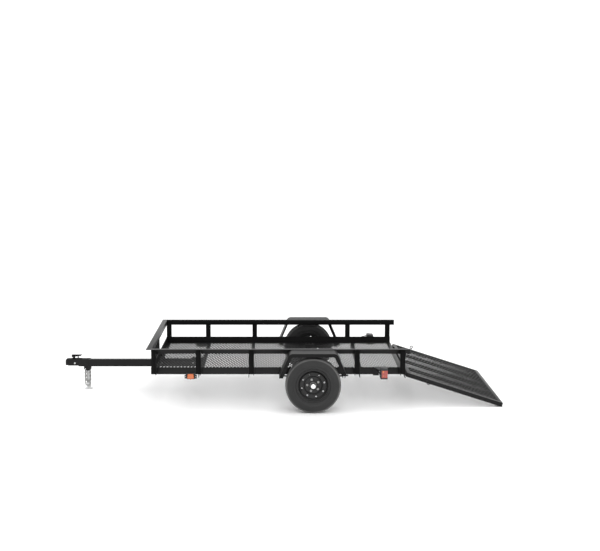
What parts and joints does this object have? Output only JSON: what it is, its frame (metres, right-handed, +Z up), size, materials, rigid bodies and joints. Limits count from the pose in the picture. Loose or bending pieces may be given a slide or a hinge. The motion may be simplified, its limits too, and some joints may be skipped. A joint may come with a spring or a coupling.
{
  "type": "utility trailer",
  "caption": "Single-axle utility trailer with an expanded-metal floor, low angle-iron sides, trapezoid fenders and a ramp gate let down to the ground.",
  "frame": {"origin": "middle of the trailer's footprint on the ground, with the ramp down", "axes": "+X to the rear, along the trailer; +Y to its right side; +Z up"},
  "size_m": [4.3887, 2, 0.59],
  "materials": {
    "frame_paint": "satin black",
    "mesh_paint": "satin black",
    "tyre_rubber": "matte",
    "wheel_paint": "gloss black",
    "cap_plating": "bright",
    "zinc_plating": "zinc plated",
    "lamp_plastic": "matte black",
    "amber_lens": "gloss amber",
    "red_lens": "gloss red"
  },
  "bodies": {
    "chassis": {"frame_side_left": "frame_paint", "frame_side_right": "frame_paint", "frame_front": "frame_paint", "rear_sill": "frame_paint", "cross_members": "frame_paint", "floor_mesh": "mesh_paint", "top_rail_left": "frame_paint", "top_rail_right": "frame_paint", "top_rail_front": "frame_paint", "posts_left": "frame_paint", "posts_right": "frame_paint", "post_front": "frame_paint", "tongue": "frame_paint", "tongue_brackets": "frame_paint", "coupler": "frame_paint", "coupler_latch": "zinc_plating", "chain_bracket": "frame_paint", "safety_chains": "zinc_plating", "leg_sleeve": "zinc_plating", "axle": "frame_paint", "spring_left": "frame_paint", "spring_right": "frame_paint", "spring_hangers": "frame_paint", "spring_clamps": "zinc_plating", "fender_left": "frame_paint", "fender_right": "frame_paint", "marker_housings": "lamp_plastic", "marker_lenses": "amber_lens", "lamp_brackets": "frame_paint", "tail_lamp_housings": "lamp_plastic", "tail_lamp_lenses": "red_lens", "sill_hinges": "frame_paint"},
    "wheel_left": {"tyre_left": "tyre_rubber", "wheel_left": "wheel_paint", "hub_left": "wheel_paint", "grease_cap_left": "cap_plating"},
    "wheel_right": {"tyre_right": "tyre_rubber", "wheel_right": "wheel_paint", "hub_right": "wheel_paint", "grease_cap_right": "cap_plating"},
    "ramp": {"ramp_rail_left": "frame_paint", "ramp_rail_right": "frame_paint", "ramp_rail_heel": "frame_paint", "ramp_rail_tip": "frame_paint", "ramp_bars": "frame_paint", "ramp_mesh": "mesh_paint", "ramp_hinges": "frame_paint", "ramp_latches": "zinc_plating"},
    "drop_leg": {"drop_leg": "zinc_plating"}
  },
  "joints": [
    {"name": "wheel_left_spin", "type": "hinge", "parent": "chassis", "child": "wheel_left", "pos_m": [0.33663, -0.915, 0.267], "axis": [0, 1, 0], "continuous": true},
    {"name": "wheel_right_spin", "type": "hinge", "parent": "chassis", "child": "wheel_right", "pos_m": [0.33663, 0.915, 0.267], "axis": [0, 1, 0], "continuous": true},
    {"name": "ramp_hinge", "type": "hinge", "parent": "chassis", "child": "ramp", "pos_m": [1.24263, 0, 0.345], "axis": [0, -1, 0], "range_deg": [0, 107.87]},
    {"name": "drop_leg_slide", "type": "slide", "parent": "chassis", "child": "drop_leg", "axis": [0, 0, 1], "range_m": [0, 0.18]}
  ]
}
